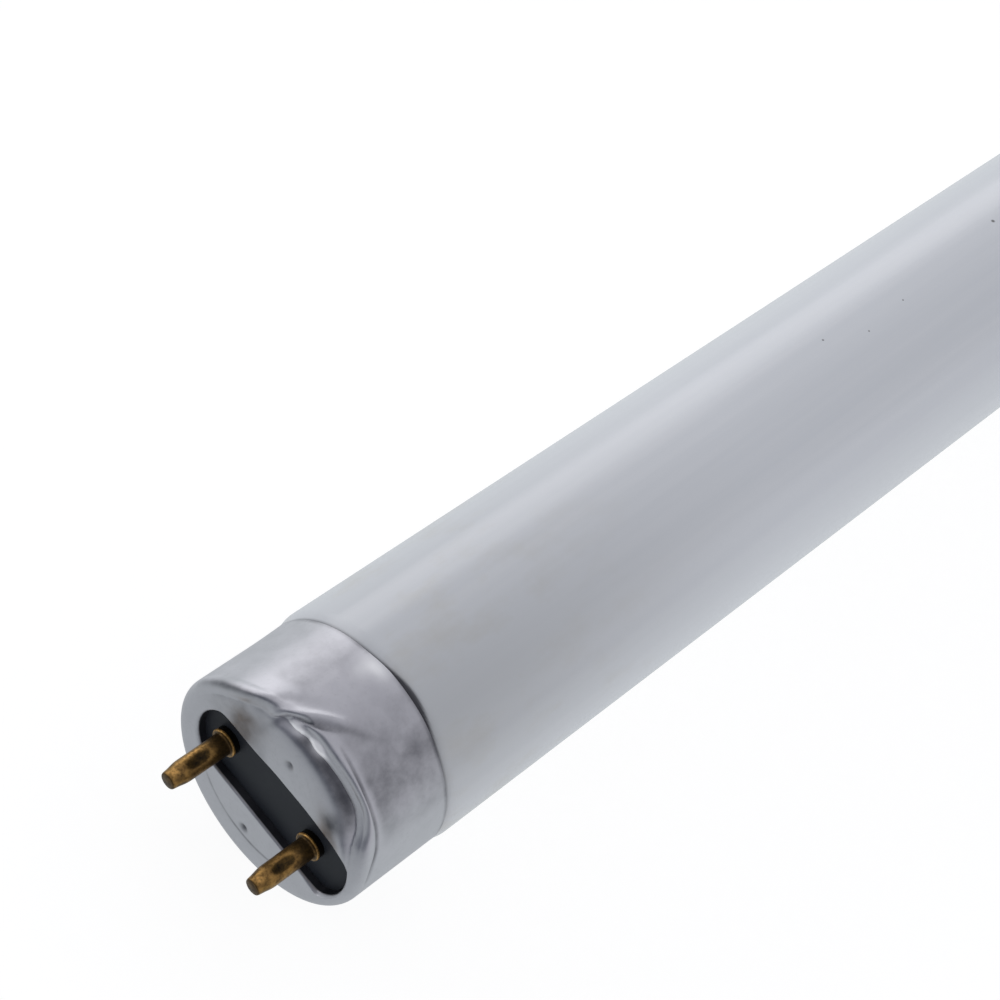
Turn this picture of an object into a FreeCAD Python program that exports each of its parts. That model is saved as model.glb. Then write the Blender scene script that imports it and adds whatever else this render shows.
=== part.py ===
import FreeCAD, Part
import math
import os

os.makedirs("parts", exist_ok=True)

# A straight double-ended fluorescent tube with a two-pin cap on each end.
# X runs along the tube, Y through the two pins of a cap, Z up.
# The origin is the centre of the near cap's rim, and its pins point to -X.
# Sizes are in millimetres. Each end is drawn from its own rim, x growing into the tube.

# Whole tube
FACE_TO_FACE = 589.8        # from one cap's rim to the other's
GLASS_RADIUS = 12.9         # bulb, outside

# Cap shell
CAP_STEP = 0.2              # from the bulb's surface down to the cap's
CAP_LENGTH = 11.8
CAP_WALL = 0.3
RIM_ROUND = 1.5             # outer corner of the rim
CAP_RADIUS = GLASS_RADIUS - CAP_STEP
FACE_RADIUS = CAP_RADIUS - RIM_ROUND

# Slot in the cap's face, with its lip turned in
SLOT_END_WALL = 2.1         # from the slot's end to the cap's side
SLOT_HALF_WIDTH = 4.4
SLOT_END_RADIUS = 6.0
LIP_WALL = 0.3
PLATE_DEPTH = 1.15          # rim to the insulator's front
SLOT_HALF_LENGTH = CAP_RADIUS - SLOT_END_WALL

# Stake marks beside the slot
STAKE_OFFSET = 8.0          # from the axis
STAKE_BALL_RADIUS = 0.9
STAKE_DEPTH = 0.22

# Insulator
PLATE_CLEARANCE = 1.1       # to the inside of the cap
PLATE_HALF_WIDTH = 5.6
PLATE_THICKNESS = 1.3
PLATE_RADIUS = CAP_RADIUS - CAP_WALL - PLATE_CLEARANCE

# Pins
PIN_PITCH = 12.7
PIN_RADIUS = 1.175
PIN_REACH = 6.5             # rim to the tip
PIN_TIP_RADIUS = 0.88
PIN_TAPER = 1.0
COLLAR_RADIUS = 1.55
COLLAR_FRONT = 0.3          # behind the rim's crest
RIVET_RADIUS = 1.75
RIVET_THICKNESS = 0.5

# Cement
CEMENT_LENGTH = 3.4
CEMENT_WALL = 1.1
CEMENT_SETBACK = 0.6        # from the cement to the end of the neck

# Bulb end, hidden in the cap
NECK_START = 3.6            # rim to the end of the glass
SHOULDER_IN_CAP = 1.8       # from the end of the neck to the cap's open edge
SHOULDER_LENGTH = 3.3       # from the neck to the full bulb
LIP_WIDTH = 2.6             # flat lip where the stem is sealed in
STEM_FLOOR_RADIUS = 4.0
STEM_DEPTH = 4.4
EXHAUST_RADIUS = 1.9        # sealed-off pumping tip
EXHAUST_LENGTH = 3.4
NECK_RADIUS = CAP_RADIUS - CAP_WALL - CEMENT_WALL
NECK_END = CAP_LENGTH - SHOULDER_IN_CAP

# Lead wires
WIRE_RADIUS = 0.25
WIRE_STEM_OFFSET = 2.9      # from the axis, where a wire leaves the stem

# Damage to the near cap
SLOT_SHIFT = -0.9           # its slot was stamped off centre, along Y
PUSHED_IN = 1.6             # upper side of its face, tilted back
PUSH_FROM = 4.6             # height where that begins
PUSH_FADES = 6.5            # along the wall
DENT_DEPTH = 0.8            # fold across the corner
DENT_ANGLE = 86.0           # about the axis, from +Y
DENT_POSITION = 2.4         # from the rim
DENT_LENGTH = 6.0
DENT_WIDTH = 1.3
DENT_SLANT = 48.0           # its length, turned from the axis
FLAT_DEPTH = 0.4            # flattened side
FLAT_ANGLE = 30.0
FLAT_SPREAD = 24.0
FLAT_FADES = 4.0            # back to round over this length at the open edge

# Rings that the dented skin is drawn through
WALL_RINGS = (0.15, 0.4, 1.0)    # shares of the straight wall
RING_POINTS = 24
RING_SEAM = -140.0          # clear of the slot, the stakes and the dent
AXIS = FreeCAD.Vector(1, 0, 0)


def vec(x, y=0.0, z=0.0):
    return FreeCAD.Vector(x, y, z)


def on_ring(x, radius, angle):
    return vec(x, radius * math.cos(angle), radius * math.sin(angle))


def line(a, b):
    return Part.LineSegment(a, b).toShape()


def arc(a, middle, b):
    return Part.Arc(a, middle, b).toShape()


def revolved(edges):
    """Solid of a closed outline in the XY plane, turned about the X axis."""
    return Part.Face(Part.Wire(edges)).revolve(vec(0), AXIS, 360)


def slab(x0, x1, radius):
    return Part.makeCylinder(radius, x1 - x0, vec(x0), AXIS)


# Bulb

def bulb_end_outline(middle_x):
    """Outline of one half of the bulb, from its exhaust tip to the tube's middle."""
    floor_x = NECK_START + STEM_DEPTH
    tip_x = floor_x - EXHAUST_LENGTH
    points = [
        vec(tip_x),
        vec(tip_x, EXHAUST_RADIUS),
        vec(floor_x, EXHAUST_RADIUS),
        vec(floor_x, STEM_FLOOR_RADIUS),
        vec(NECK_START, NECK_RADIUS - LIP_WIDTH),
        vec(NECK_START, NECK_RADIUS),
        vec(NECK_END, NECK_RADIUS),
        vec(NECK_END + SHOULDER_LENGTH, GLASS_RADIUS),
        vec(middle_x, GLASS_RADIUS),
        vec(middle_x),
    ]
    return [line(a, b) for a, b in zip(points, points[1:] + points[:1])]


def bulb():
    """Sealed glass tube: one closed solid from stem to stem."""
    middle_x = FACE_TO_FACE / 2
    half = revolved(bulb_end_outline(middle_x))
    other = half.mirror(vec(middle_x), AXIS)
    return half.fuse(other).removeSplitter()


# Cap shell

def rim_profile(inset):
    """Distance from the rim and radius at the face's edge, the corner and the wall."""
    reach = RIM_ROUND - inset
    profile = []
    for degrees in (0, 45, 90):
        turn = math.radians(degrees)
        x = RIM_ROUND - reach * math.cos(turn)
        profile.append((x, FACE_RADIUS + reach * math.sin(turn)))
    return profile


def smooth_step(value):
    value = min(max(value, 0.0), 1.0)
    return value * value * (3 - 2 * value)


def damage(x, radius, angle):
    """How far a blow moved a point of the near cap: along the axis, and outward."""
    height = max(radius * math.sin(angle) - PUSH_FROM, 0.0)
    back = PUSHED_IN * height / (CAP_RADIUS - PUSH_FROM)
    back *= 1 - smooth_step(x / PUSH_FADES)

    across = CAP_RADIUS * (angle - math.radians(DENT_ANGLE))
    along = x - DENT_POSITION
    slant = math.radians(DENT_SLANT)
    u = along * math.cos(slant) + across * math.sin(slant)
    v = along * math.sin(slant) - across * math.cos(slant)
    fold = math.exp(-(2 * u / DENT_LENGTH) ** 2 - (v / DENT_WIDTH) ** 2)

    flat = math.exp(-(math.degrees(angle) - FLAT_ANGLE) ** 2 / FLAT_SPREAD ** 2)
    flat *= smooth_step((radius - FACE_RADIUS) / RIM_ROUND)
    flat *= smooth_step((CAP_LENGTH + FLAT_FADES - x) / (2 * FLAT_FADES))
    return back, -DENT_DEPTH * fold - FLAT_DEPTH * flat


def ring(x, radius, hit):
    """Closed curve round the axis, moved as the blow moved it if it was hit."""
    points = []
    for index in range(RING_POINTS):
        angle = math.radians(RING_SEAM) + 2 * math.pi * index / RING_POINTS
        back, out = damage(x, radius, angle) if hit else (0.0, 0.0)
        points.append(on_ring(x + back, radius + out, angle))
    curve = Part.BSplineCurve()
    curve.interpolate(Points=points, PeriodicFlag=True)
    return Part.Wire(curve.toShape())


def front_cutter(inset):
    """Everything ahead of the near cap's face, which is bent back at the top."""
    ahead = -CAP_LENGTH
    outline = [
        vec(inset, -CAP_RADIUS, -CAP_RADIUS),
        vec(inset, -CAP_RADIUS, PUSH_FROM),
        vec(inset + PUSHED_IN, -CAP_RADIUS, CAP_RADIUS),
        vec(ahead, -CAP_RADIUS, CAP_RADIUS),
        vec(ahead, -CAP_RADIUS, -CAP_RADIUS),
    ]
    return Part.Face(Part.makePolygon(outline + outline[:1])).extrude(vec(0, 2 * CAP_RADIUS))


def damaged_skin(inset, end):
    """Solid bounded by the dented skin, set in by inset and lofted through rings."""
    edge, corner, wall = rim_profile(inset)
    rings = [ring(2 * edge[0] - corner[0], 2 * edge[1] - corner[1], False)]
    rings += [ring(*corner, True), ring(*wall, True)]
    for share in WALL_RINGS:
        rings.append(ring(RIM_ROUND + share * (end - RIM_ROUND), wall[1], True))
    return Part.makeLoft(rings, True, True, False).cut(front_cutter(inset))


def sound_skin(inset, end):
    """Solid bounded by the undamaged skin, turned about the axis."""
    profile = [vec(x, radius) for x, radius in rim_profile(inset)]
    corners = [vec(profile[0].x)] + profile + [vec(end, profile[-1].y), vec(end)]
    return revolved([line(a, b) for a, b in zip(corners, corners[1:] + corners[:1])])


def cap_skin(inset, end, damaged):
    return damaged_skin(inset, end) if damaged else sound_skin(inset, end)


def slot_prism(x0, x1, grow, shift):
    """Bar with the slot's outline: straight sides between two flat arcs."""
    half_length = SLOT_HALF_LENGTH + grow
    half_width = SLOT_HALF_WIDTH + grow
    end_radius = SLOT_END_RADIUS + grow
    corner = half_length - end_radius + math.sqrt(end_radius ** 2 - half_width ** 2)
    a = vec(x0, shift + corner, half_width)
    b = vec(x0, shift - corner, half_width)
    c = vec(x0, shift - corner, -half_width)
    d = vec(x0, shift + corner, -half_width)
    outline = Part.Wire([
        line(a, b),
        arc(b, vec(x0, shift - half_length), c),
        line(c, d),
        arc(d, vec(x0, shift + half_length), a),
    ])
    return Part.Face(outline).extrude(vec(x1 - x0))


def cap_cavity(damaged):
    return cap_skin(CAP_WALL, CAP_LENGTH + CAP_WALL, damaged)


def stake_mark(side, damaged):
    """Small ball that marks the cap's face beside the slot."""
    x = STAKE_DEPTH - STAKE_BALL_RADIUS
    if damaged:
        x += damage(0.0, STAKE_OFFSET, math.radians(90 * side))[0]
    return Part.makeSphere(STAKE_BALL_RADIUS, vec(x, 0.0, side * STAKE_OFFSET))


def cap_shell(damaged):
    """Thin drawn cup: face with slot and turned-in lip, rounded rim, straight wall."""
    shift = SLOT_SHIFT if damaged else 0.0
    shell = cap_skin(0.0, CAP_LENGTH, damaged).cut(cap_cavity(damaged))
    shell = shell.fuse(slot_prism(CAP_WALL, PLATE_DEPTH, LIP_WALL, shift))
    shell = shell.cut(slot_prism(-CAP_WALL, CAP_LENGTH, 0.0, shift))
    for side in (1, -1):
        shell = shell.cut(stake_mark(side, damaged))
    return shell.removeSplitter()


# Insulator, pins, wires and cement

def insulator():
    """Plate behind the slot that carries the two pins."""
    plate = slab(PLATE_DEPTH, PLATE_DEPTH + PLATE_THICKNESS, PLATE_RADIUS)
    band = Part.makeBox(
        PLATE_THICKNESS, 2 * PLATE_RADIUS, 2 * PLATE_HALF_WIDTH,
        vec(PLATE_DEPTH, -PLATE_RADIUS, -PLATE_HALF_WIDTH),
    )
    plate = plate.common(band)
    for side in (1, -1):
        hole = Part.makeCylinder(
            PIN_RADIUS, PLATE_THICKNESS, vec(PLATE_DEPTH, side * PIN_PITCH / 2), AXIS
        )
        plate = plate.cut(hole)
    return plate


def pin():
    """Pin on the X axis, its collar and its rivet head clamped on the plate."""
    tip = -PIN_REACH
    plate_back = PLATE_DEPTH + PLATE_THICKNESS
    rivet_back = plate_back + RIVET_THICKNESS
    corners = [
        vec(tip),
        vec(tip, PIN_TIP_RADIUS),
        vec(tip + PIN_TAPER, PIN_RADIUS),
        vec(COLLAR_FRONT, PIN_RADIUS),
        vec(COLLAR_FRONT, COLLAR_RADIUS),
        vec(PLATE_DEPTH, COLLAR_RADIUS),
        vec(PLATE_DEPTH, PIN_RADIUS),
        vec(plate_back, PIN_RADIUS),
        vec(plate_back, RIVET_RADIUS),
        vec(rivet_back, RIVET_RADIUS),
        vec(rivet_back),
    ]
    return revolved([line(a, b) for a, b in zip(corners, corners[1:] + corners[:1])])


def lead_wire():
    """Straight wire from the pin on +Y to the stem's floor, cut flush at both ends."""
    rivet_back = PLATE_DEPTH + PLATE_THICKNESS + RIVET_THICKNESS
    start = vec(rivet_back, PIN_PITCH / 2)
    stem = vec(NECK_START + STEM_DEPTH, WIRE_STEM_OFFSET)
    run = stem - start
    spare = run * (WIRE_RADIUS / run.x)
    length = run.Length + 2 * spare.Length
    wire = Part.makeCylinder(WIRE_RADIUS, length, start - spare, run)
    return wire.common(slab(start.x, stem.x, PIN_PITCH))


def cement(damaged):
    """Ring of cement that fills the gap between the neck and the cap's wall."""
    end = NECK_END - CEMENT_SETBACK
    start = end - CEMENT_LENGTH
    band = slab(start, end, GLASS_RADIUS).common(cap_cavity(damaged))
    return band.cut(slab(start, end, NECK_RADIUS))


def end_parts(damaged):
    parts = {
        "cap_shell": cap_shell(damaged),
        "insulator": insulator(),
        "cement": cement(damaged),
    }
    for name, turn in (("a", 0), ("b", 180)):
        post = pin()
        post.translate(vec(0, PIN_PITCH / 2))
        wire = lead_wire()
        for shape in (post, wire):
            shape.rotate(vec(0), AXIS, turn)
        parts["pin_" + name] = post
        parts["lead_wire_" + name] = wire
    return parts


def main():
    nodes = {"glass_tube": bulb()}
    for name, shape in end_parts(True).items():
        nodes["near_" + name] = shape
    for name, shape in end_parts(False).items():
        shape.rotate(vec(FACE_TO_FACE / 2), vec(0, 0, 1), 180)
        nodes["far_" + name] = shape
    for name, shape in nodes.items():
        if shape.ShapeType == "Compound" and len(shape.Solids) == 1:
            shape = shape.Solids[0]
        shape.exportStep("parts/" + name + ".step")
        box = shape.BoundBox
        print(name, shape.ShapeType, len(shape.Solids), "solids, valid", shape.isValid(),
              "volume", round(shape.Volume, 2), "x", round(box.XMin, 2), round(box.XMax, 2))


main()
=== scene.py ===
import bpy
import math
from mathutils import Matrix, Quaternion, Vector


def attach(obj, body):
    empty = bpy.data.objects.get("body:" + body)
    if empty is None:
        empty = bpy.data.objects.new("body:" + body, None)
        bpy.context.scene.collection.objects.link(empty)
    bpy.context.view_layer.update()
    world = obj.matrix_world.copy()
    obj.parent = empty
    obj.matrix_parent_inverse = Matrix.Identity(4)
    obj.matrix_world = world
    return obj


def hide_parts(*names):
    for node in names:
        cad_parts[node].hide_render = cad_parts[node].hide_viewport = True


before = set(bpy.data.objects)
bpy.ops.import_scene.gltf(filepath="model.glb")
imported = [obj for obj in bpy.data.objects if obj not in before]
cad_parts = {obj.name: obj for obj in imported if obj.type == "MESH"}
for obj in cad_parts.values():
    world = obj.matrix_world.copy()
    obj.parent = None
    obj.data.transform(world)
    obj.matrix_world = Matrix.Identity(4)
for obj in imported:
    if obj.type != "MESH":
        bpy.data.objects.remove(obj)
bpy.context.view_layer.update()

# Sizes are in millimetres here and in metres in the meshes.
# X runs along the tube from the near cap's rim, Y through the two pins, Z up.
MM = 0.001

# Tube and caps
TUBE_LENGTH = 589.8         # rim to rim
GLASS_RADIUS = 12.9
CAP_RADIUS = 12.7
CAP_LENGTH = 11.8
CAP_WALL = 0.3
RIM_ROUND = 1.5
CREST_RADIUS = CAP_RADIUS - RIM_ROUND
FACE_SINK = 0.15            # flat face, behind the rim's crest
BEAD_START = 8.5            # radius where the face begins to rise to the rim

# Slot, and the two marks stamped beside it
SLOT_HALF_LENGTH = 10.6
SLOT_HALF_WIDTH = 4.4
SLOT_END_RADIUS = 6.0
SLOT_EDGE_ROUND = 0.25
NEAR_SHIFT = -0.9           # the near cap's slot sits off centre
STAKES = ((-0.4, 7.7), (0.0, -8.0))
STAKE_WIDTH = 0.42
STAKE_DEPTH = 0.3

# Pins, and the plate that carries them
PIN_OFFSET = 6.35
PIN_RADIUS = 1.175
PIN_REACH = 6.5
COLLAR_FRONT = 0.3          # behind the rim's crest, as the plate is
COLLAR_RADIUS = 1.55
PLATE_FRONT = 1.15
PLATE_BACK = 2.45

# Neck of the glass, hidden in the cap
NECK_START = 3.6
NECK_END = 10.0
NECK_RADIUS = 11.3
SHOULDER_LENGTH = 3.3

# How finely the pieces are drawn
CAP_SIDES = 300
PIN_SIDES = 72
GLASS_SIDES = 180
FACE_ROWS = 56
CORNER_START = 39           # degrees round the rim where the face's rows end
CORNER_STEP = 4
SHOULDER_ROWS = 22


# Starting and turning pieces

def select_none():
    if bpy.context.object and bpy.context.object.mode == "EDIT":
        bpy.ops.object.mode_set(mode="OBJECT")
    bpy.ops.object.select_all(action="DESELECT")


def first_ring(name, x, radius, sides, y=0.0):
    """Circle across the tube's direction, selected in edit mode."""
    select_none()
    bpy.ops.mesh.primitive_circle_add(
        vertices=sides, radius=radius * MM, location=(x * MM, y * MM, 0.0),
        rotation=(0.0, math.pi / 2, 0.0),
    )
    piece = bpy.context.object
    piece.name = name
    piece.data.name = name
    bpy.ops.object.transform_apply(location=True, rotation=True, scale=True)
    bpy.ops.object.mode_set(mode="EDIT")
    bpy.ops.mesh.select_all(action="SELECT")
    return piece


def turned(name, stations, sides, y=0.0):
    """Round piece with shut ends: a disc extruded and resized from station to station."""
    x, radius = stations[0]
    piece = first_ring(name, x, radius, sides, y)
    bpy.ops.mesh.edge_face_add()
    for next_x, next_radius in stations[1:]:
        bpy.ops.mesh.extrude_region_move(
            TRANSFORM_OT_translate={"value": ((next_x - x) * MM, 0.0, 0.0)}
        )
        ratio = next_radius / radius
        bpy.ops.transform.resize(
            value=(1.0, ratio, ratio), center_override=(next_x * MM, y * MM, 0.0)
        )
        x, radius = next_x, next_radius
    bpy.ops.mesh.select_all(action="SELECT")
    bpy.ops.mesh.normals_make_consistent(inside=False)
    bpy.ops.object.mode_set(mode="OBJECT")
    return piece


def smooth(piece, degrees):
    select_none()
    piece.select_set(True)
    bpy.context.view_layer.objects.active = piece
    bpy.ops.object.shade_smooth_by_angle(angle=math.radians(degrees))


def turn_to_far_end(piece):
    """Swings a piece of the near end half round the tube's middle, to the far end."""
    select_none()
    piece.select_set(True)
    bpy.context.view_layer.objects.active = piece
    bpy.ops.object.mode_set(mode="EDIT")
    bpy.ops.mesh.select_all(action="SELECT")
    middle = (TUBE_LENGTH / 2 * MM, 0.0, 0.0)
    bpy.ops.transform.rotate(value=math.pi, orient_axis="Z", center_override=middle)
    bpy.ops.object.mode_set(mode="OBJECT")


def paint(piece, name, values):
    """Keeps one number for each point, which a material reads by name."""
    layer = piece.data.attributes.new(name, "FLOAT", "POINT")
    layer.data.foreach_set("value", values)


# Smooth curves

def step(value, start, end):
    """Rises smoothly from 0 at start to 1 at end."""
    share = min(max((value - start) / (end - start), 0.0), 1.0)
    return share * share * (3 - 2 * share)


def hump(value, middle, width):
    return math.exp(-((value - middle) / width) ** 2)


def follow(value, knots):
    """Smooth line through pairs of a place and a height, level beyond its ends."""
    if value <= knots[0][0]:
        return knots[0][1]
    if value >= knots[-1][0]:
        return knots[-1][1]
    last = len(knots) - 1
    index = next(number for number in range(last) if value <= knots[number + 1][0])
    before, start = knots[max(index - 1, 0)], knots[index]
    end, after = knots[index + 1], knots[min(index + 2, last)]
    width = end[0] - start[0]
    rise_in = (end[1] - before[1]) / (end[0] - before[0]) * width
    rise_out = (after[1] - start[1]) / (after[0] - start[0]) * width
    t = (value - start[0]) / width
    return (
        start[1] * (2 * t ** 3 - 3 * t ** 2 + 1) + rise_in * (t ** 3 - 2 * t ** 2 + t)
        + end[1] * (3 * t ** 2 - 2 * t ** 3) + rise_out * (t ** 3 - t ** 2)
    )


# Cap shell

def slot_reach(angle, grow):
    """From the slot's centre to its outline in a direction."""
    across = abs(math.sin(angle))
    along = abs(math.cos(angle))
    straight = (SLOT_HALF_WIDTH + grow) / max(across, 0.001)
    if across > 0.8:
        return straight
    end_radius = SLOT_END_RADIUS + grow
    middle = SLOT_HALF_LENGTH - SLOT_END_RADIUS
    end = middle * along + math.sqrt(end_radius ** 2 - (middle * across) ** 2)
    return (straight ** -24 + end ** -24) ** (-1 / 24)


def face_height(radius):
    """How far the cap's face lies behind the rim's crest."""
    if radius > CREST_RADIUS:
        return RIM_ROUND - math.sqrt(max(RIM_ROUND ** 2 - (radius - CREST_RADIUS) ** 2, 0.0))
    rise = step(radius, BEAD_START, CREST_RADIUS)
    return FACE_SINK * (1 - rise)

def cap_rows():
    """Rows of the skin, from the lip in the slot over the face and rim to the open edge."""
    rows = [("lip", depth) for depth in (PLATE_FRONT, 0.9, 0.65, 0.45)]
    rows += [("slot_edge", degrees) for degrees in (0, 22, 44, 66)]
    rows += [("face", index / FACE_ROWS) for index in range(FACE_ROWS + 1)]
    rows += [("corner", degrees) for degrees in range(CORNER_START + CORNER_STEP, 90, CORNER_STEP)]
    rows += [("wall", RIM_ROUND + 0.15 * index) for index in range(37)]
    rows += [("wall", 7.2 + 0.3 * index) for index in range(15)]
    rows += [("wall", CAP_LENGTH - 0.1), ("wall", CAP_LENGTH)]
    return rows


def cap_point(row, angle, shift):
    """Sound cap: distance from the rim and place across, for one point of a row."""
    part, value = row
    across = Vector((math.cos(angle), math.sin(angle)))
    offset = Vector((shift, 0.0))
    if part == "lip":
        return value, offset + across * slot_reach(angle, 0.0)
    if part == "slot_edge":
        turn = math.radians(value)
        grow = SLOT_EDGE_ROUND * (1 - math.cos(turn))
        x = FACE_SINK + SLOT_EDGE_ROUND * (1 - math.sin(turn))
        return x, offset + across * slot_reach(angle, grow)
    if part == "face":
        inner = offset + across * slot_reach(angle, SLOT_EDGE_ROUND)
        outer_radius = CREST_RADIUS + RIM_ROUND * math.sin(math.radians(CORNER_START))
        place = inner.lerp(across * outer_radius, value)
        return face_height(place.length), place
    if part == "corner":
        turn = math.radians(value)
        radius = CREST_RADIUS + RIM_ROUND * math.sin(turn)
        return RIM_ROUND * (1 - math.cos(turn)), across * radius
    return value, across * CAP_RADIUS


def stake_mark(place):
    """Depth of the two small marks stamped beside the slot."""
    return STAKE_DEPTH * sum(hump((place - Vector(at)).length, 0.0, STAKE_WIDTH) for at in STAKES)


# Damage to the near cap. A place on its skin is a distance along it, counted from the rim
# and negative on the face, and an angle in degrees about the axis from +Y.

# Depth of the blow at the rim's crest, by angle
BLOW = (
    (44, 0.0), (56, 0.3), (68, 0.95), (80, 1.6), (92, 1.95), (105, 2.0), (120, 2.25),
    (132, 2.3), (142, 1.75), (149, 1.0), (156, 0.6), (165, 0.3), (178, 0.0),
)
BLOW_FADES = 7.5            # along the wall

# Groove along the inside of the driven-back rim: its depth by angle
GROOVE = (
    (68, 0.0), (78, 0.4), (90, 0.52), (110, 0.46), (130, 0.3), (145, 0.15), (158, 0.0),
)
GROOVE_RADIUS = 11.1
GROOVE_WIDTH = 0.36

# Slanting fold across the rim
FOLD_MIDDLE = 2.4
FOLD_ANGLE = 86
FOLD_SLANT = 48             # its length, turned from the axis

# Thin crease on the wall: its place by angle
CREASE = (
    (100, 3.2), (121, 3.1), (141, 3.05), (151, 2.75), (161, 2.1), (172, 1.7),
)
CREASE_WIDTH = 0.17
CREASE_DEPTH = 0.13

# Shallow marks on the wall: place, angle, width and depth
DINGS = (
    (4.9, 118, 1.4, 0.13), (7.2, 104, 1.8, 0.14), (6.4, 133, 1.6, 0.12),
    (9.0, 122, 1.5, 0.09), (8.6, 84, 1.6, 0.1), (4.2, 148, 1.3, 0.08),
    (7.0, 70, 1.9, 0.08), (9.6, 140, 1.2, 0.06),
)

# Torn kinks on the crest: place, angle, length round the rim and height
KINKS = ((-0.7, 83.5, 0.75, 0.26), (-0.6, 96.3, 0.9, 0.36))
KINK_WIDTH = 0.45

SQUARED = 0.46              # how far the upper left of the rim stands out
FLATTENED = 0.4             # how far the side below it is pressed in
LIFTED = 0.42               # how far the open edge stands off the glass


def around(place):
    """Angle about the axis, from -90 on the underside to 270."""
    degrees = math.degrees(math.atan2(place.y, place.x))
    return degrees + 360 if degrees < -90 else degrees


def unrolled(x, radius):
    """Distance along the skin, and how far it has turned from the face to the wall."""
    if x >= RIM_ROUND:
        return x, math.pi / 2
    share = min(max((radius - CREST_RADIUS) / RIM_ROUND, 0.0), 1.0)
    turn = math.asin(share)
    return RIM_ROUND * (1 - math.pi / 2 + turn) - max(CREST_RADIUS - radius, 0.0), turn


def pushed_back(along, turn, radius, degrees):
    """How far the blow drove a point back along the tube: most at the rim's crest."""
    depth = follow(degrees, BLOW)
    if turn > 0:
        return depth * max(1 - max(along, 0.0) / BLOW_FADES, 0.0) ** 1.9
    slot = min(slot_reach(math.radians(degrees), SLOT_EDGE_ROUND), CREST_RADIUS - 0.6)
    share = min(max((radius - slot) / (CREST_RADIUS - slot), 0.0), 1.0)
    return depth * (0.1 + 0.9 * share ** 5)


def rim_groove(radius, degrees):
    """Groove along the inside of the driven-back rim, at the foot of the bent face."""
    return follow(degrees, GROOVE) * hump(radius, GROOVE_RADIUS, GROOVE_WIDTH)


def fold_frame(along, degrees):
    """Place along the slanting fold and to the side of it, which bends at its lower end."""
    slant = math.radians(FOLD_SLANT)
    along -= FOLD_MIDDLE
    across = CAP_RADIUS * math.radians(degrees - FOLD_ANGLE)
    u = along * math.cos(slant) + across * math.sin(slant)
    v = along * math.sin(slant) - across * math.cos(slant)
    return u, v + 0.5 * (1 - step(u, -5.0, -2.0))


def fold(along, degrees):
    """The slanting fold: a valley with a sharp ridge and a soft crease beside it."""
    u, v = fold_frame(along, degrees)
    valley = -0.5 * hump(v, -0.08 + 0.05 * u, 0.48) * math.exp(-(abs(u) / 4.4) ** 3)
    reach = step(u, -6.5, -3.6) * (1 - step(u, 2.5, 6.8))
    ridge = 0.42 * hump(v, 0.42 + 0.08 * math.sin(1.1 * u), 0.62) * reach
    bend = 0.07 * hump(v, 2.05, 0.6) * step(u, -9.5, -6.0) * (1 - step(u, -2.5, 0.2))
    return valley + ridge - bend


def squared_rim(turn, degrees):
    """The upper left of the rim, hammered to a plainer edge."""
    share = step(degrees, 8, 26) * (1 - step(degrees, 62, 80))
    return SQUARED * share * math.sin(2 * turn) ** 2


def flattened(x, turn, degrees):
    """The upper left side, pressed a little flat and round again under the glass."""
    return FLATTENED * math.sin(turn) * hump(degrees, 30, 24) * (1 - step(x, 7.8, 15.8))


def rim_crease(along, degrees):
    """1 in the thin crease on the wall, close behind the driven-back rim."""
    reach = step(degrees, 99, 110) * (1 - step(degrees, 164, 178))
    return reach * hump(along, follow(degrees, CREASE), CREASE_WIDTH)


def dings(along, degrees):
    """Depth of the shallow marks on the wall, with the thin crease."""
    depth = CREASE_DEPTH * rim_crease(along, degrees)
    for at_along, at_degrees, wide, deep in DINGS:
        across = CAP_RADIUS * math.radians(degrees - at_degrees)
        depth += deep * math.exp(-((along - at_along) ** 2 + across ** 2) / wide ** 2)
    return depth


def kinks(along, degrees):
    """Height of the two small kinks on the driven-back crest, torn up; their shine is a painted
    highlight.
    """
    height = 0.0
    for at_along, at_degrees, long, high in KINKS:
        across = CREST_RADIUS * math.radians(degrees - at_degrees)
        height += high * hump(along, at_along, KINK_WIDTH) * hump(across, 0.0, long)
    return height


def open_edge_lift(x, degrees):
    """How far the open edge stands off the glass, on its upper side."""
    round_it = step(degrees, 72, 90) * (1 - step(degrees, 108, 138))
    return LIFTED * step(x, 8.4, CAP_LENGTH + 1.0) * round_it


def damaged(x, place):
    """Point of the near cap after the blow."""
    radius = place.length
    degrees = around(place)
    along, turn = unrolled(x, radius)
    back = pushed_back(along, turn, radius, degrees)
    if turn == 0:
        back += rim_groove(radius, degrees)
    moved = along + back * math.sin(turn)
    out = fold(moved, degrees) + squared_rim(turn, degrees) + kinks(along, degrees)
    out -= flattened(x, turn, degrees)
    if turn > 0.5:
        out += open_edge_lift(x, degrees) - dings(moved, degrees)
    share = (radius + out * math.sin(turn)) / radius
    return x + back - out * math.cos(turn), place * share


# Painted shade, painted highlights and dirt on the near cap, each from 0 to 1

# Dark patches on the face, a painted shadow below the fold and a smudge: place across, width and
# darkness
SHADOW_AND_SMUDGE = (((6.2, 5.9), 1.5, 0.2), ((-6.9, 6.3), 1.1, 0.85))


def painted_highlight_share(along, degrees):
    """Painted highlights: on the kinks, and near the open edge."""
    edge_highlight = 0.95 * hump(along, 11.1, 0.75) * hump(degrees, 84.0, 6.5)
    edge_highlight += 0.5 * hump(along, 9.9, 1.2) * hump(degrees, 80.0, 4.5)
    return min(kinks(along, degrees) / 0.14 + edge_highlight, 1.0)


def fold_painted_shade(along, degrees):
    """Painted shade in the valley of the fold and in the crease beside it."""
    u, v = fold_frame(along, degrees)
    dark = 0.55 * hump(v, -0.18 + 0.05 * u, 0.4) * hump(u, 0.3, 4.6)
    return dark + 0.16 * hump(v, 2.2, 0.5) * step(u, -5.5, -3.0) * (1 - step(u, -2.5, 1.5))


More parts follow.
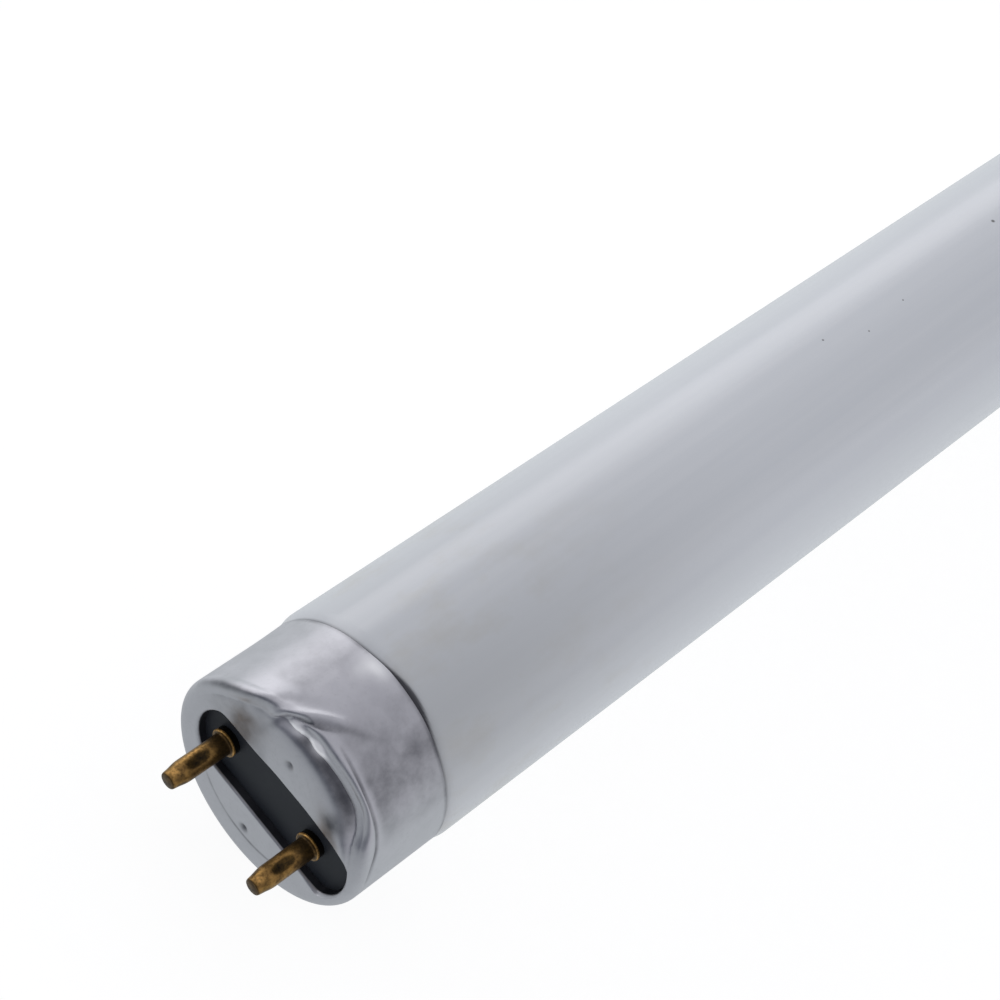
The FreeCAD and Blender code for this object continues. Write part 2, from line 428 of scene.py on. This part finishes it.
def face_shade_and_smudge(place, degrees):
    """Painted shade in the rim's groove, along a line on the left and in the stamped marks, a
    painted shadow below the fold, a smudge, and painted shade on the upper left.
    """
    radius = place.length
    # Painted shade down the bent face into the rim's groove on the upper right.
    upper_right = step(degrees, 80, 91) * (1 - step(degrees, 124, 150))
    dark = 0.9 * upper_right * hump(radius, 10.85, 0.42)
    # Painted shade along a thin line at the foot of the rim on the left.
    left = step(-degrees, 40, 55) + step(degrees, 226, 240)
    dark += 0.5 * hump(radius, 9.05, 0.14) * left
    for at, wide, deep in SHADOW_AND_SMUDGE:
        dark += deep * hump((place - Vector(at)).length, 0.0, wide)
    # Painted shade in the stamped marks.
    for at in STAKES:
        dark += 0.8 * hump((place - Vector(at)).length, 0.0, 0.4)
    # Painted shade on the upper left of the face.
    return dark + 0.18 * step(degrees, 10, 40) * (1 - step(degrees, 60, 76))


def wall_shade_and_dirt(x, along, degrees):
    """Painted shade in the thin crease, darker patches mostly on the right that are partly dirt
    and partly painted shade, a faint dark streak on the upper left, painted shade along the open
    edge and a painted highlight near it.
    """
    dark = 0.6 * rim_crease(along, degrees)
    # Darker patches, partly dirt and partly painted shade.
    patches = 0.2 * step(degrees, 90, 106) * (1 - step(degrees, 140, 157))
    patches += 0.32 * hump(degrees, 125, 11) + 0.16 * hump(degrees, 61, 9)
    dark += patches * step(along, 3.2, 4.2)
    dark += 0.14 * hump(degrees, 69.0 + 0.2 * x, 3.2) * step(x, 3.0, 5.0)
    # Painted shade along the open edge.
    dark += 0.35 * step(x, 11.35, CAP_LENGTH)
    # Painted highlight near the open edge.
    return dark - 0.3 * hump(x, 10.8, 0.7) * hump(degrees, 82, 9)


def cap_dirt_and_shade(row, x, place):
    """Painted shade and dirt at one point of the near cap, less under painted highlights."""
    part, value = row
    # The slot's lip down to the plate gets a painted shadow, and its rounded edge gets painted
    # shade.
    if part == "lip":
        return 0.95
    if part == "slot_edge":
        return 0.5 - value / 150
    degrees = around(place)
    along, turn = unrolled(x, place.length)
    moved = along + pushed_back(along, turn, place.length, degrees) * math.sin(turn)
    dark = fold_painted_shade(moved, degrees)
    # Painted shade along the crease at the upper left of the rim's corner.
    dark += 0.46 * hump(along, 0.25, 0.32) * step(degrees, 14, 30) * (1 - step(degrees, 54, 70))
    if turn == 0:
        dark += face_shade_and_smudge(place, degrees)
    if turn > 0.5:
        dark += wall_shade_and_dirt(x, moved, degrees)
    return min(max(dark - painted_highlight_share(along, degrees), 0.0), 1.0)


def cap_shell(name, hit):
    """Thin drawn cup, its skin extruded row by row and then given its thickness."""
    rows = cap_rows()
    piece = first_ring(name, 0.0, CAP_RADIUS, CAP_SIDES)
    for _ in rows[1:]:
        bpy.ops.mesh.extrude_region_move(TRANSFORM_OT_translate={"value": (MM, 0.0, 0.0)})
    bpy.ops.object.mode_set(mode="OBJECT")
    shift = NEAR_SHIFT if hit else 0.0
    dirt_and_shade = []
    painted_highlight = []
    for vertex in piece.data.vertices:
        row = rows[vertex.index // CAP_SIDES]
        angle = math.atan2(vertex.co.z, vertex.co.y)
        x, place = cap_point(row, angle, shift)
        dirt_and_shade.append(cap_dirt_and_shade(row, x, place) if hit else 0.1)
        painted_highlight.append(painted_highlight_share(unrolled(x, place.length)[0], around(place)) if hit else 0.0)
        sunk = stake_mark(place) if row[0] == "face" else 0.0
        if hit:
            x, place = damaged(x, place)
        vertex.co = Vector((x + sunk, place.x, place.y)) * MM
    paint(piece, "dirt_and_shade", dirt_and_shade)
    paint(piece, "painted_highlight", painted_highlight)
    bpy.ops.object.mode_set(mode="EDIT")
    bpy.ops.mesh.select_all(action="SELECT")
    bpy.ops.mesh.normals_make_consistent(inside=False)
    bpy.ops.object.mode_set(mode="OBJECT")
    wall = piece.modifiers.new("wall", "SOLIDIFY")
    wall.thickness = CAP_WALL * MM
    wall.offset = -1.0
    bpy.ops.object.modifier_apply(modifier="wall")
    smooth(piece, 50)
    return piece


# Pins

# Painted highlights on a pin's sides: place, angle, length, spread and brightness
PIN_HIGHLIGHTS = ((-5.75, 84, 0.36, 22, 1.1), (-3.0, 52, 1.7, 22, 0.5), (-3.4, 158, 1.3, 18, 0.3))

# Long hollow on two sides of a pin
CRIMP_MIDDLE = -3.1
CRIMP_ANGLE = 97
CRIMP_DEPTH = 0.26


def pin_stations():
    """Outline of a pin from its worn tip over its collar to its rivet behind the plate."""
    tip = [
        (0.0, 0.79), (0.03, 0.86), (0.12, 0.91), (0.3, 0.94), (0.6, 0.98), (0.9, 1.03),
        (1.2, 1.09), (1.5, 1.14), (1.8, 1.168),
    ]
    front = [(back - PIN_REACH, radius) for back, radius in tip]
    shaft = [(-4.5 + 0.2 * index, PIN_RADIUS) for index in range(24)]
    collar = [
        (0.24, 1.2), (COLLAR_FRONT, 1.27), (COLLAR_FRONT, 1.46), (0.33, 1.52),
        (0.4, COLLAR_RADIUS), (0.5, COLLAR_RADIUS), (0.56, 1.53), (0.6, 1.5),
    ]
    held = [(PLATE_FRONT, 1.5), (PLATE_FRONT, PIN_RADIUS), (PLATE_BACK, PIN_RADIUS)]
    rivet = [(PLATE_BACK, 1.75), (2.55, 1.72), (2.9, 1.4), (2.95, 1.2)]
    return front + shaft + collar + held + rivet


def crimp(x, degrees):
    """How far the two long hollows are pressed in."""
    if x >= 0.2:
        return 0.0
    depth = 0.0
    for middle in (CRIMP_ANGLE, -CRIMP_ANGLE):
        off = (degrees - middle + 180) % 360 - 180
        along = abs(x - CRIMP_MIDDLE) / 1.35
        depth += CRIMP_DEPTH * math.exp(-along ** 2.6 - (abs(off) / 30) ** 2.4)
    return depth


def pin_wear_and_highlight(x, radius, degrees, hollow):
    """Bright, from 0 to 1: brighter bands near the tip, and painted highlights on the sides, on
    the collar's rim and round the hollows.
    """
    wear_and_highlight = 0.25 * hump(x, -6.25, 0.2) + 0.2 * hump(x, -4.9, 0.35)
    # Painted highlight on the collar's rim, strongest on two sides.
    collar_highlight_sides = max(hump(degrees, 50, 42), hump(degrees, 176, 30), 0.25)
    wear_and_highlight += 1.2 * hump(x, 0.4, 0.14) * step(radius, 1.36, 1.5) * collar_highlight_sides
    # Painted highlight round the edges of the hollows.
    wear_and_highlight += 0.5 * hump(hollow, 0.07, 0.05)
    for at_x, at_degrees, long, wide, bright in PIN_HIGHLIGHTS:
        wear_and_highlight += bright * hump(x, at_x, long) * hump(degrees, at_degrees, wide)
    return min(max(wear_and_highlight - 3.0 * hollow + 0.06, 0.0), 1.0)


def pin_shade_and_tarnish(x, radius, hollow):
    """Dark, from 0 to 1: a painted shadow behind the collar, a darker neck before it, the tip's
    dull end and painted shade in the hollows.
    """
    neck = 0.5 * step(x, -2.0, -0.6) * (1 - step(radius, 1.25, 1.4))
    return max(step(x, 0.52, 0.62), neck, 0.5 * step(-x, 6.4, 6.48), 1.4 * hollow)


def pin(name, side):
    """Pin with a tapered tip, a crimped hollow on two sides and a collar."""
    y = side * PIN_OFFSET
    piece = turned(name, pin_stations(), PIN_SIDES, y)
    wear_and_highlight = []
    shade_and_tarnish = []
    for vertex in piece.data.vertices:
        x = vertex.co.x / MM
        across = Vector((vertex.co.y / MM - y, vertex.co.z / MM))
        radius = across.length
        degrees = math.degrees(math.atan2(across.y, across.x))
        hollow = crimp(x, degrees)
        wear_and_highlight.append(pin_wear_and_highlight(x, radius, degrees, hollow))
        shade_and_tarnish.append(pin_shade_and_tarnish(x, radius, hollow))
        across *= 1 - hollow / radius
        vertex.co.y = (across.x + y) * MM
        vertex.co.z = across.y * MM
    paint(piece, "wear_and_highlight", wear_and_highlight)
    paint(piece, "shade_and_tarnish", shade_and_tarnish)
    smooth(piece, 40)
    return piece


# Glass tube

def glass_stations():
    """Outline from the near stem's recess over the neck and along the tube to the far one."""
    end = [(8.0, 1.0), (8.0, 4.0), (4.9, 8.3), (4.2, 8.9), (3.75, 9.4), (NECK_START, 10.0)]
    end += [(3.75, 10.6), (4.2, 11.1), (4.9, NECK_RADIUS), (NECK_END, NECK_RADIUS)]
    for index in range(1, SHOULDER_ROWS + 1):
        share = index / SHOULDER_ROWS
        radius = NECK_RADIUS + (GLASS_RADIUS - NECK_RADIUS) * step(share, 0.0, 1.0)
        end.append((NECK_END + SHOULDER_LENGTH * share, radius))
    along = [(x, GLASS_RADIUS) for x in range(16, 290, 8)]
    other = [(TUBE_LENGTH - x, radius) for x, radius in reversed(end + along)]
    return end + along + other


def gap_painted_shade(x, degrees, near):
    """Painted shade in the gap at a cap's open edge, wider where the near cap stands off the
    glass.
    """
    end = 12.05 + 0.6 * hump(degrees, 102, 17) if near else 12.1
    blur = 0.14 if near else 0.2
    return 1 - step(x, end - blur, end + blur)


def glass_tube():
    """The bulb, with a little dust on the upper side of each end, and painted shade in the gap at
    each cap's open edge.
    """
    piece = turned("bulb_glass", glass_stations(), GLASS_SIDES)
    dirt_and_shade = []
    dust = []
    for vertex in piece.data.vertices:
        degrees = around(Vector((vertex.co.y, vertex.co.z)))
        from_near = vertex.co.x / MM
        near = from_near < TUBE_LENGTH / 2
        x = from_near if near else TUBE_LENGTH - from_near
        dirt_and_shade.append(gap_painted_shade(x, degrees, near))
        dust.append(0.42 * hump(x, 12.0, 30.0) * hump(degrees, 122, 34))
    paint(piece, "dirt_and_shade", dirt_and_shade)
    paint(piece, "dust", dust)
    smooth(piece, 30)
    return piece


# Materials

class Board:
    """Node board of a material or of the world, with short calls to add and join nodes."""

    def __init__(self, owner):
        owner.use_nodes = True
        self.owner = owner
        self.nodes = owner.node_tree.nodes
        self.links = owner.node_tree.links
        self.shader = self.nodes.get("Principled BSDF")

    def add(self, kind, **values):
        node = self.nodes.new(kind)
        for key, value in values.items():
            setattr(node, key, value)
        return node

    def join(self, source, target):
        self.links.new(source, target)

    def place(self, scale):
        """Object coordinates in units of the given size for each axis, in millimetres."""
        where = self.add("ShaderNodeTexCoord")
        sized = self.add("ShaderNodeMapping")
        sized.inputs["Scale"].default_value = [1000 / size for size in scale]
        self.join(where.outputs["Object"], sized.inputs["Vector"])
        return sized.outputs["Vector"]

    def noise(self, scale, detail=4.0, rough=0.5):
        node = self.add("ShaderNodeTexNoise")
        self.join(self.place(scale), node.inputs["Vector"])
        node.inputs["Scale"].default_value = 1.0
        node.inputs["Detail"].default_value = detail
        node.inputs["Roughness"].default_value = rough
        return node.outputs["Fac"]

    def axis(self, name, kind="Object"):
        """One coordinate of the point that is shaded."""
        where = self.add("ShaderNodeTexCoord")
        parts = self.add("ShaderNodeSeparateXYZ")
        self.join(where.outputs[kind], parts.inputs["Vector"])
        return parts.outputs[name]

    def along_tube(self):
        """Distance from the rim of the nearer cap, in metres."""
        x = self.axis("X")
        return self.maths("MINIMUM", x, self.maths("SUBTRACT", TUBE_LENGTH * MM, x))

    def speck(self, spot, size):
        """1 within a small round spot of the surface, 0 outside it."""
        where = self.add("ShaderNodeTexCoord")
        gap = self.add("ShaderNodeVectorMath", operation="DISTANCE")
        gap.inputs[1].default_value = spot
        self.join(where.outputs["Object"], gap.inputs[0])
        return self.levels(gap.outputs["Value"], size * 0.6, size * 1.4, 0.85, 0.0)

    def attribute(self, name):
        node = self.add("ShaderNodeAttribute", attribute_name=name)
        return node.outputs["Fac"]

    def ramp(self, source, stops):
        node = self.add("ShaderNodeValToRGB")
        while len(node.color_ramp.elements) < len(stops):
            node.color_ramp.elements.new(0.5)
        for element, (place, colour) in zip(node.color_ramp.elements, stops):
            element.position = place
            element.color = colour if len(colour) == 4 else (*colour, 1.0)
        self.join(source, node.inputs["Fac"])
        return node.outputs["Color"]

    def levels(self, source, low, high, to_low=0.0, to_high=1.0):
        node = self.add("ShaderNodeMapRange")
        node.inputs["From Min"].default_value = low
        node.inputs["From Max"].default_value = high
        node.inputs["To Min"].default_value = to_low
        node.inputs["To Max"].default_value = to_high
        self.join(source, node.inputs["Value"])
        return node.outputs["Result"]

    def maths(self, operation, first, second):
        node = self.add("ShaderNodeMath", operation=operation)
        for slot, value in zip(node.inputs, (first, second)):
            if isinstance(value, (int, float)):
                slot.default_value = value
            else:
                self.join(value, slot)
        return node.outputs["Value"]

    def blend(self, share, first, second, mode="MIX"):
        node = self.add("ShaderNodeMix", data_type="RGBA", blend_type=mode)
        self.join(share, node.inputs["Factor"])
        for slot, value in ((node.inputs[6], first), (node.inputs[7], second)):
            if isinstance(value, tuple):
                slot.default_value = (*value, 1.0)
            else:
                self.join(value, slot)
        return node.outputs[2]

    def bump(self, source, height, strength=1.0):
        node = self.add("ShaderNodeBump")
        node.inputs["Distance"].default_value = height * MM
        node.inputs["Strength"].default_value = strength
        self.join(source, node.inputs["Height"])
        self.join(node.outputs["Normal"], self.shader.inputs["Normal"])

    def set(self, name, value):
        self.shader.inputs[name].default_value = value

    def drive(self, name, source):
        self.join(source, self.shader.inputs[name])


def new_board(name):
    return Board(bpy.data.materials.new(name))


# Dirt specks on the glass: place and size in metres
SPECKS = (
    ((0.11458, 0.00382, 0.01232), 0.00022),
    ((0.08103, 0.00346, 0.01243), 0.00012),
    ((0.08674, 0.00128, 0.01284), 0.0001),
    ((0.09407, 0.00202, 0.01274), 0.0001),
)


def coated_glass():
    board = new_board("coated_glass")
    streaks = board.noise((70.0, 1.6, 1.6), 5.0, 0.6)
    broad = board.noise((220.0, 7.0, 7.0), 2.0)
    coat = board.ramp(streaks, [(0.3, (0.655, 0.678, 0.712)), (0.7, (0.7, 0.718, 0.748))])
    tone = board.blend(board.levels(broad, 0.35, 0.65, 0.0, 0.5), coat, (0.665, 0.69, 0.73))
    end_x = board.along_tube()
    dulled = board.blend(board.levels(end_x, 0.012, 0.062, 0.3, 0.0), tone, (0.4, 0.41, 0.43))
    near_end = board.levels(end_x, 0.02, 0.05, 1.0, 0.0)
    patches = board.levels(board.noise((9.0, 5.0, 5.0), 4.0, 0.6), 0.5, 0.68, 0.0, 0.3)
    stain = board.maths("MULTIPLY", patches, near_end)
    marked = board.blend(stain, dulled, (0.5, 0.47, 0.4))
    marked = board.blend(board.attribute("dust"), marked, (0.34, 0.35, 0.35))
    for spot, size in SPECKS:
        marked = board.blend(board.speck(spot, size), marked, (0.06, 0.06, 0.05))
    # Painted shade in the gap at each cap's open edge.
    gap_shaded = board.blend(board.attribute("dirt_and_shade"), marked, (0.05, 0.05, 0.06))
    board.drive("Base Color", gap_shaded)
    board.drive("Roughness", board.levels(streaks, 0.3, 0.7, 0.2, 0.26))
    board.set("Specular IOR Level", 0.8)
    board.bump(board.noise((30.0, 1.2, 1.2), 3.0), 0.004, 0.3)
    return board.owner


def cap_aluminium():
    board = new_board("cap_aluminium")
    mottle = board.noise((2.4, 2.4, 2.4), 5.0, 0.62)
    fine = board.noise((0.45, 0.45, 0.45), 3.0, 0.6)
    clean = board.ramp(mottle, [(0.3, (0.6, 0.595, 0.63)), (0.7, (0.69, 0.685, 0.72))])
    freckles = board.levels(fine, 0.55, 0.75, 0.0, 0.22)
    freckled = board.blend(freckles, clean, (0.45, 0.45, 0.47))
    dirt_and_shade = board.attribute("dirt_and_shade")
    painted_highlight = board.attribute("painted_highlight")
    spread = board.levels(board.noise((3.4, 3.4, 3.4), 5.0, 0.6), 0.34, 0.64, 0.9, -0.7)
    loose = board.maths("MULTIPLY", spread, board.maths("SUBTRACT", 1.0, dirt_and_shade))
    shade_and_dirt_share = board.maths("MULTIPLY", dirt_and_shade, board.maths("ADD", loose, 1.0))
    # Painted shade and dirt darken the metal towards a dark bluish grey.
    dull = board.blend(shade_and_dirt_share, freckled, (0.07, 0.072, 0.085))
    # Painted highlights: a lighter, less metallic colour where they lie.
    board.drive("Base Color", board.blend(painted_highlight, dull, (0.95, 0.95, 0.97)))
    board.drive("Metallic", board.levels(painted_highlight, 0.0, 1.0, 1.0, 0.4))
    board.drive("Roughness", board.levels(mottle, 0.3, 0.7, 0.36, 0.5))
    board.bump(board.noise((1.8, 1.8, 1.8), 4.0), 0.03, 0.5)
    return board.owner


def insulator_board():
    board = new_board("insulator_board")
    cloud = board.noise((3.0, 3.0, 3.0), 4.0)
    board.drive("Base Color", board.ramp(cloud, [
        (0.3, (0.014, 0.017, 0.022)), (0.7, (0.019, 0.022, 0.028)),
    ]))
    board.drive("Roughness", board.levels(cloud, 0.3, 0.7, 0.4, 0.5))
    board.set("Specular IOR Level", 0.13)
    board.bump(board.noise((0.4, 0.4, 0.4), 2.0), 0.01, 0.4)
    return board.owner


def pin_brass():
    board = new_board("pin_brass")
    stain = board.noise((1.1, 0.7, 0.7), 5.0, 0.65)
    fine = board.noise((0.3, 0.3, 0.3), 3.0)
    old = board.ramp(stain, [
        (0.34, (0.022, 0.014, 0.006)), (0.5, (0.085, 0.05, 0.014)), (0.66, (0.21, 0.12, 0.03)),
    ])
    rough_share = board.levels(fine, 0.35, 0.6, 0.4, 1.0)
    wear_and_highlight_share = board.maths("MULTIPLY", board.attribute("wear_and_highlight"), rough_share)
    # Brighter brass where there is wear and where highlights are painted.
    bright = board.blend(wear_and_highlight_share, old, (0.85, 0.48, 0.15))
    # Painted shadow behind the collar and painted shade in the hollows, with the tip's dull end.
    board.drive("Base Color", board.blend(board.attribute("shade_and_tarnish"), bright, (0.012, 0.011, 0.01)))
    board.set("Metallic", 0.85)
    board.drive("Roughness", board.levels(stain, 0.3, 0.7, 0.45, 0.27))
    board.bump(fine, 0.02, 0.5)
    return board.owner


def cap_cement():
    board = new_board("cap_cement")
    grain = board.noise((0.6, 0.6, 0.6), 5.0)
    board.drive("Base Color", board.ramp(grain, [
        (0.3, (0.3, 0.26, 0.2)), (0.7, (0.45, 0.4, 0.32)),
    ]))
    board.set("Roughness", 0.9)
    board.bump(grain, 0.05)
    return board.owner


def wire_metal():
    board = new_board("wire_metal")
    drawn = board.noise((2.0, 0.1, 0.1), 3.0)
    board.drive("Base Color", board.ramp(drawn, [
        (0.3, (0.4, 0.34, 0.28)), (0.7, (0.55, 0.48, 0.4)),
    ]))
    board.set("Metallic", 1.0)
    board.set("Roughness", 0.4)
    return board.owner


def floor_paper():
    """White paper: its shade stays faint to the camera, and bare metal sees it as grey."""
    board = new_board("floor_paper")
    fibre = board.noise((2.0, 2.0, 2.0), 3.0)
    board.drive("Base Color", board.ramp(fibre, [
        (0.3, (0.9, 0.9, 0.9)), (0.7, (0.93, 0.93, 0.93)),
    ]))
    board.set("Roughness", 0.95)
    board.set("Specular IOR Level", 0.1)
    board.set("Emission Color", (1.0, 1.0, 1.0, 1.0))
    board.set("Emission Strength", 0.42)
    behind = board.levels(board.axis("X"), -0.32, -0.285)
    grey = board.blend(behind, (0.36, 0.39, 0.405), (0.55, 0.59, 0.6))
    path = board.add("ShaderNodeLightPath")
    shader = board.shader.outputs["BSDF"]
    for ray, share, colour in (("Is Camera Ray", 0.8, None), ("Is Glossy Ray", 0.88, grey)):
        glow = board.add("ShaderNodeEmission")
        if colour:
            board.join(colour, glow.inputs["Color"])
        mixed = board.add("ShaderNodeMixShader")
        board.join(board.maths("MULTIPLY", path.outputs[ray], share), mixed.inputs["Fac"])
        board.join(shader, mixed.inputs[1])
        board.join(glow.outputs["Emission"], mixed.inputs[2])
        shader = mixed.outputs["Shader"]
    board.join(shader, board.nodes["Material Output"].inputs["Surface"])
    return board.owner


def wear_finish(piece, material):
    piece.data.materials.clear()
    piece.data.materials.append(material)


# Light, floor and camera

def paper_floor():
    """White paper that the tube lies on."""
    select_none()
    bpy.ops.mesh.primitive_plane_add(size=8.0, location=(0.3, 0.0, -GLASS_RADIUS * MM))
    floor = bpy.context.object
    floor.name = "floor"
    wear_finish(floor, floor_paper())


def room():
    """Pale walls, white to the camera and darker ahead of the near cap in what mirrors them."""
    world = bpy.data.worlds.new("studio")
    bpy.context.scene.world = world
    board = Board(world)
    ahead = board.levels(board.axis("X", "Generated"), -0.35, -0.75)
    path = board.add("ShaderNodeLightPath")
    mirrored = board.blend(ahead, (0.5, 0.505, 0.54), (0.09, 0.1, 0.13))
    lit = board.blend(path.outputs["Is Glossy Ray"], (0.6, 0.605, 0.635), mirrored)
    shade = board.blend(path.outputs["Is Camera Ray"], lit, (1.0, 1.0, 1.0))
    board.join(shade, board.nodes["Background"].inputs["Color"])


def look_at(holder, place, target, roll=0.0):
    """Puts a lamp or the camera in its place, turned to a point and rolled about its view."""
    holder.location = place
    turn = (Vector(target) - Vector(place)).to_track_quat("-Z", "Y")
    holder.rotation_euler = (turn @ Quaternion((0.0, 0.0, 1.0), math.radians(roll))).to_euler()


def lamp(name, place, target, width, height, watts):
    """Soft rectangular lamp turned towards a point."""
    light = bpy.data.lights.new(name, "AREA")
    light.shape = "RECTANGLE"
    light.size = width
    light.size_y = height
    light.energy = watts
    holder = bpy.data.objects.new(name, light)
    bpy.context.collection.objects.link(holder)
    look_at(holder, place, target)


def lamps():
    """A long soft box beside the tube, from the floor up, and a weaker one across from it."""
    lamp("side_soft_box", (0.8, 1.0, 0.31), (0.8, 0.0, 0.31), 3.0, 0.64, 5.4)
    lamp("far_soft_box", (0.5, -1.2, 0.5), (0.5, 0.0, 0.0), 2.4, 0.5, 0.6)


def camera():
    """The photo's camera, rolled about its view."""
    eye = bpy.data.cameras.new("camera")
    eye.sensor_width = 36.0
    eye.lens = 80.14
    eye.clip_start = 0.01
    holder = bpy.data.objects.new("camera", eye)
    bpy.context.collection.objects.link(holder)
    look_at(holder, (-0.08917, -0.032894, 0.189796), (0.042825, 0.011328, 0.0), 34.083)
    bpy.context.scene.camera = holder


# Putting it together

def dress(piece, material, slot, *nodes):
    wear_finish(piece, material)
    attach(piece, "root")
    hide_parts(*nodes)


def build():
    glass = coated_glass()
    aluminium = cap_aluminium()
    brass = pin_brass()
    dress(glass_tube(), glass, "coated_glass", "glass_tube")
    dress(cap_shell("near_cap", True), aluminium, "cap_aluminium", "near_cap_shell")
    far_cap = cap_shell("far_cap", False)
    turn_to_far_end(far_cap)
    dress(far_cap, aluminium, "cap_aluminium", "far_cap_shell")
    for letter, side in (("a", 1), ("b", -1)):
        near_pin = pin("near_post_" + letter, side)
        dress(near_pin, brass, "pin_brass", "near_pin_" + letter)
        far_pin = pin("far_post_" + letter, side)
        turn_to_far_end(far_pin)
        dress(far_pin, brass, "pin_brass", "far_pin_" + letter)


def finish_inner_parts():
    """Materials for the solids that stay as they are."""
    inner = {"insulator": insulator_board(), "cement": cap_cement()}
    wire = wire_metal()
    inner["lead_wire_a"] = wire
    inner["lead_wire_b"] = wire
    for end in ("near_", "far_"):
        for part, material in inner.items():
            wear_finish(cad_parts[end + part], material)


camera()
paper_floor()
room()
lamps()
build()
finish_inner_parts()
bpy.context.scene.view_settings.view_transform = "Standard"
